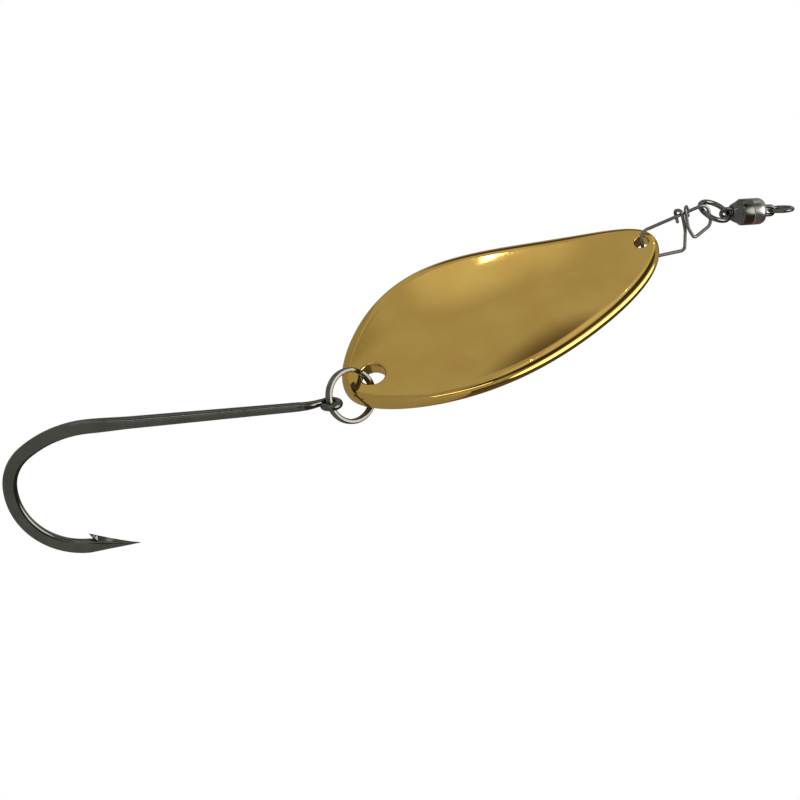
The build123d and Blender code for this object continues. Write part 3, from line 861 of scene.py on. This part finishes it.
HOOK_POINT_SIDE = across(Vector((0.989, 0.0, -0.149)), HOOK_AXIS)
EYE_OPENS_AT = math.radians(24)
EYE_LEAVES_AT = math.radians(296)

shank_down = -HOOK_AXIS
hook_turn = Matrix((shank_down, HOOK_POINT_SIDE, shank_down.cross(HOOK_POINT_SIDE))).transposed()
hook_place = Matrix.Translation(hook_eye) @ hook_turn.to_4x4() @ Matrix.Scale(MM, 4)


def hook_route():
    """The wire's centre line from the eye's cut end to the point, and the share at each change."""
    route = []
    for k in range(61):
        turn = EYE_OPENS_AT + (EYE_LEAVES_AT - EYE_OPENS_AT) * k / 60
        route.append(Vector((EYE_MID_R * math.cos(turn), 0, EYE_MID_R * math.sin(turn))))
    leave = route[-1]
    leave_way = Vector((-math.sin(EYE_LEAVES_AT), 0, math.cos(EYE_LEAVES_AT)))
    join = Vector((SHANK_JOIN, 0, 0))
    for k in range(1, 25):
        s = k / 24
        a, b = leave + leave_way * 1.3, join - Vector((1.6, 0, 0))
        route.append(leave * (1 - s)**3 + a * 3 * s * (1 - s)**2 + b * 3 * s**2 * (1 - s) + join * s**3)
    shank_from = len(route)
    steps = 110
    route += [Vector((join.x + (HOOK_SHANK_LENGTH - join.x) * k / steps, 0, 0)) for k in range(1, steps + 1)]
    place, heading = route[-1], 0.0
    for radius, bend in zip(BEND_RADII, BEND_TURNS):
        steps = round(bend * radius / 14)
        for k in range(1, steps + 1):
            end, start = math.radians(heading + bend * k / steps), math.radians(heading)
            dx = radius * (math.sin(end) - math.sin(start))
            dy = radius * (math.cos(start) - math.cos(end))
            route.append(place + Vector((dx, dy, 0)))
        place, heading = route[-1], heading + bend
    point_from = len(route)
    for k in range(1, 61):
        route.append(place + Vector((-POINT_LENGTH, POINT_LEAN, 0)) * k / 60)
    return route, shank_from, point_from


route, shank_from, point_from = hook_route()
last = len(route) - 1


def blend(a, b, share):
    """From a to b, starting and ending gently."""
    share = max(0.0, min(1.0, share))
    share = share * share * (3 - 2 * share)
    return a + (b - a) * share


def hook_section(share):
    """Round at the eye, fuller down the shank, forged flat in the bend, ground to the point."""
    i = round(share * last)
    at = route[i]
    if i < shank_from:
        near_end = min(1.0, 0.8 + i * 0.06)
        radius = blend(EYE_WIRE_R, SHANK_TOP_R, (i - 60) / (shank_from - 60)) * near_end
        return flattened(radius, radius, 2.0, HOOK_SIDES)
    if i < point_from:
        along = at.x if at.y < 1 else HOOK_SHANK_LENGTH + at.y
        round_r = SHANK_TOP_R + (HOOK_SHANK_R - SHANK_TOP_R) * min(1.0, along / FORGED_START)
        forged = (along - FORGED_START) / (HOOK_SHANK_LENGTH - FORGED_START)
        wide = blend(round_r, FORGED_HALF_WIDTH, forged)
        thick = blend(round_r, FORGED_HALF_THICKNESS, forged)
        return flattened(wide, thick, blend(2.0, 2.9, forged), HOOK_SIDES)
    ground_away = (i - point_from + 1) / (last - point_from + 1)
    left = 1 - ground_away**GRIND_CURVE
    wide = TIP_R + (FORGED_HALF_WIDTH - TIP_R) * left
    thick = TIP_R + (FORGED_HALF_THICKNESS - TIP_R) * left
    return flattened(wide, thick, 2.9 - 1.2 * min(1.0, ground_away * 2.5), HOOK_SIDES)


hook = draw_wire("hook_forging", route, hook_section, Vector((0, 1, 0)), hook_place)

point_base, tip = route[point_from - 1], route[-1]
barb_work = bmesh.new()
barb_work.from_mesh(hook.data)
barb_map = barb_work.loops.layers.uv["run"]
barb_root = Vector((tip.x + BARB_SETBACK, point_base.y - BARB_ROOT_SINK, 0))
barb_tip_y = point_base.y - FORGED_HALF_WIDTH - BARB_RISE
barb_tip = Vector((tip.x + BARB_SETBACK + BARB_OVERHANG, barb_tip_y, 0))
barb_start = tip + Vector((0.15, 0, 0))
stations = []
for k in range(BARB_STEPS + 1):
    s = k / BARB_STEPS
    ridge = barb_start.lerp(barb_tip, s)
    ridge.y += BARB_HOLLOW * math.sin(math.pi * s)
    past = max(0.0, (ridge.x - barb_root.x) / (barb_tip.x - barb_root.x))
    middle_y = tip.y + (point_base.y - tip.y) * min(1.0, (ridge.x - tip.x) / POINT_LENGTH)
    under_y = middle_y + (barb_tip.y - middle_y) * past**0.8
    left = 1 - max(0.0, 1 - (ridge.x - tip.x) / POINT_LENGTH) ** GRIND_CURVE
    thick = (TIP_R + (FORGED_HALF_THICKNESS - TIP_R) * left) * 0.94 * (1 - past) ** 0.6 + 0.01
    ring = []
    for u, v in ((0, 0), (0.45, 0.62), (1, 1), (1, -1), (0.45, -0.62)):
        y = ridge.y + (under_y - ridge.y) * u
        ring.append(barb_work.verts.new(hook_place @ Vector((ridge.x, y, thick * v))))
    stations.append(ring)
for near, far in zip(stations, stations[1:]):
    for k in range(5):
        after = (k + 1) % 5
        face = barb_work.faces.new((near[k], far[k], far[after], near[after]))
        for corner in face.loops:
            corner[barb_map].uv = (corner.vert.co.z / MM, corner.vert.co.x / MM)
barb_work.faces.new(stations[0])
barb_work.faces.new(list(reversed(stations[-1])))
bmesh.ops.recalc_face_normals(barb_work, faces=barb_work.faces)
barb_work.to_mesh(hook.data)
barb_work.free()

hook_nickel = plated(
    "forged_black_nickel", (HOOK_BLACK, HOOK_BLACK_THIN), 0.07, 0.12, 260.0, 2.5e-6, 1e-6, 3.5,
)
hook.data.materials.append(hook_nickel)
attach(hook, "hook")
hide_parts("hook")

# ============================================================ floor
# A plain matt grey studio floor, well below the hanging lure.
FLOOR_DROP = 0.3
FLOOR_HALF = 3.0
floor_mesh = bpy.data.meshes.new("studio_floor")
floor_corners = [
    (x * FLOOR_HALF, y * FLOOR_HALF, -FLOOR_DROP) for x, y in ((-1, -1), (1, -1), (1, 1), (-1, 1))
]
floor_mesh.from_pydata(floor_corners, [], [(0, 1, 2, 3)])
floor = bpy.data.objects.new("studio_floor", floor_mesh)
bpy.context.collection.objects.link(floor)
grey_paint = bpy.data.materials.new("grey_floor")
grey_paint.use_nodes = True
tree = grey_paint.node_tree
paint = tree.nodes["Principled BSDF"]
paint.inputs["Roughness"].default_value = 0.8
floor_spot = add(tree, "ShaderNodeTexCoord").outputs["Object"]
mottle = add(tree, "ShaderNodeTexNoise", {"Vector": floor_spot, "Scale": 6.0, "Detail": 3.0})
shade = add(tree, "ShaderNodeMapRange", {"Value": mottle.outputs["Fac"], "To Min": 0.5, "To Max": 0.54})
tree.links.new(shade.outputs["Result"], paint.inputs["Base Color"])
floor_mesh.materials.append(grey_paint)

# ============================================================ camera
# A long lens, rolled so that the hanging lure lies across the picture.
CAMERA_AT = Vector((-0.1762, -0.3446, -0.1656))
LOOKS = Vector((0.4604, 0.8562, 0.2345)).normalized()
TOP_OF_VIEW = Vector((-0.8652, 0.3737, 0.3342))
lens = bpy.data.cameras.new("camera")
lens.lens = 112.5
lens.sensor_width = 36.0
lens.clip_start = 0.01
camera = bpy.data.objects.new("camera", lens)
camera_up = across(TOP_OF_VIEW, LOOKS)
camera_turn = Matrix((LOOKS.cross(camera_up), camera_up, -LOOKS)).transposed()
camera.matrix_world = Matrix.Translation(CAMERA_AT) @ camera_turn.to_4x4()
bpy.context.collection.objects.link(camera)
bpy.context.scene.camera = camera
bpy.context.scene.view_settings.view_transform = "Standard"

# ============================================================ studio
# A grey room that is dimmer below, with soft bright, dark and reddish-brown patches for the
# metal to reflect, a small lamp and two strip lamps. Up in the studio is up in the view.
UP = camera_up
RIGHT = LOOKS.cross(camera_up)
AWAY = LOOKS
world = bpy.data.worlds.new("studio")
bpy.context.scene.world = world
world.use_nodes = True
tree = world.node_tree
for old in list(tree.nodes):
    tree.nodes.remove(old)
way = add(tree, "ShaderNodeTexCoord").outputs["Generated"]


def studio_way(direction):
    """A direction given as right, away and up in the studio."""
    right, away, up = direction
    return (RIGHT * right + AWAY * away + UP * up).normalized()


def facing_share(direction):
    """How far a ray goes the given way, from -1 to 1."""
    return add(tree, "ShaderNodeVectorMath", {0: way, 1: direction}, operation="DOT_PRODUCT").outputs["Value"]


rise = facing_share(UP)
height = add(tree, "ShaderNodeMapRange", {"Value": rise, "From Min": -1.0, "From Max": 1.0})
sky = add(tree, "ShaderNodeValToRGB", {"Fac": height.outputs["Result"]})
stops = [
    (0.0, (0.12, 0.11, 0.1)), (0.25, (0.08, 0.075, 0.065)), (0.42, (0.07, 0.07, 0.06)),
    (0.52, (0.22, 0.22, 0.21)), (0.62, (0.34, 0.34, 0.33)), (0.72, (0.42, 0.42, 0.41)),
    (0.86, (0.36, 0.36, 0.35)), (0.95, (0.46, 0.46, 0.46)), (1.0, (0.47, 0.47, 0.47)),
]
ramp = sky.color_ramp
while len(ramp.elements) < len(stops):
    ramp.elements.new(0.5)
for element, (at, tint) in zip(ramp.elements, stops):
    element.position = at
    element.color = (*tint, 1)


def with_patch(colour, direction, edge, core, tint):
    """The studio's colour with a soft patch of the tint. edge and core are its size in degrees."""
    patch = add(tree, "ShaderNodeMapRange", {
        "Value": facing_share(studio_way(direction)),
        "From Min": math.cos(math.radians(edge)),
        "From Max": math.cos(math.radians(core)),
    }, interpolation_type="SMOOTHSTEP")
    mixed = add(tree, "ShaderNodeMix", data_type="RGBA")
    tree.links.new(patch.outputs["Result"], mixed.inputs[0])
    tree.links.new(colour, mixed.inputs[6])
    mixed.inputs[7].default_value = (*tint, 1)
    return mixed.outputs[2]


# Each patch: its direction, how wide its soft edge and its core are in degrees, and its colour.
STUDIO_PATCHES = [
    ((0.15, -0.22, 0.965), 12, 3, (0.7, 0.7, 0.69)),
    ((0.2, 0.05, 0.98), 11, 3, (0.78, 0.78, 0.77)),
    ((-0.2, -0.42, 0.89), 9, 2, (0.32, 0.31, 0.27)),
    ((0.04, 0.37, 0.93), 15, 6, (0.07, 0.05, 0.03)),
    ((0.06, -0.66, 0.75), 15, 6, (0.04, 0.035, 0.03)),
    ((0.38, -0.48, 0.79), 19, 9, (0.05, 0.04, 0.03)),
    ((0.86, -0.45, 0.1), 28, 22, (3.2, 3.15, 3.0)),
    ((0.2, 0.6, -0.77), 24, 12, (0.26, 0.1, 0.05)),
]
studio_colour = sky.outputs["Color"]
for direction, edge, core, tint in STUDIO_PATCHES:
    studio_colour = with_patch(studio_colour, direction, edge, core, tint)
seen = add(tree, "ShaderNodeLightPath").outputs["Is Camera Ray"]
plain = add(tree, "ShaderNodeBackground", {"Color": (1, 1, 1, 1), "Strength": 1.0})
studio = add(tree, "ShaderNodeBackground", {"Color": studio_colour, "Strength": 1.0})
shown = add(tree, "ShaderNodeMixShader", {0: seen, 1: studio.outputs[0], 2: plain.outputs[0]})
add(tree, "ShaderNodeOutputWorld", {"Surface": shown.outputs[0]})


def soft_lamp(name, toward, distance, size, power, round_lamp=False, height=None):
    """An area lamp that far from the blade, the given way in the studio, which looks at it."""
    lamp = bpy.data.lights.new(name, "AREA")
    lamp.shape = "DISK" if round_lamp else "RECTANGLE"
    lamp.size = size
    if height:
        lamp.size_y = height
    lamp.energy = power
    direction = studio_way(toward)
    holder = bpy.data.objects.new(name, lamp)
    holder.location = blade_origin + direction * distance
    level = across(RIGHT, direction)
    holder.matrix_world = Matrix.Translation(holder.location) @ Matrix(
        (level, direction.cross(level), direction)
    ).transposed().to_4x4()
    bpy.context.collection.objects.link(holder)


soft_lamp("small_lamp", (0.12, -0.18, 0.976), 0.8, 0.009, 0.012, round_lamp=True)
soft_lamp("front_strip", (0.15, -0.98, 0.1), 0.9, 0.9, 0.12, height=0.03)
soft_lamp("front_softbox", (-0.1, -0.78, 0.62), 0.9, 0.5, 0.32, height=0.07)
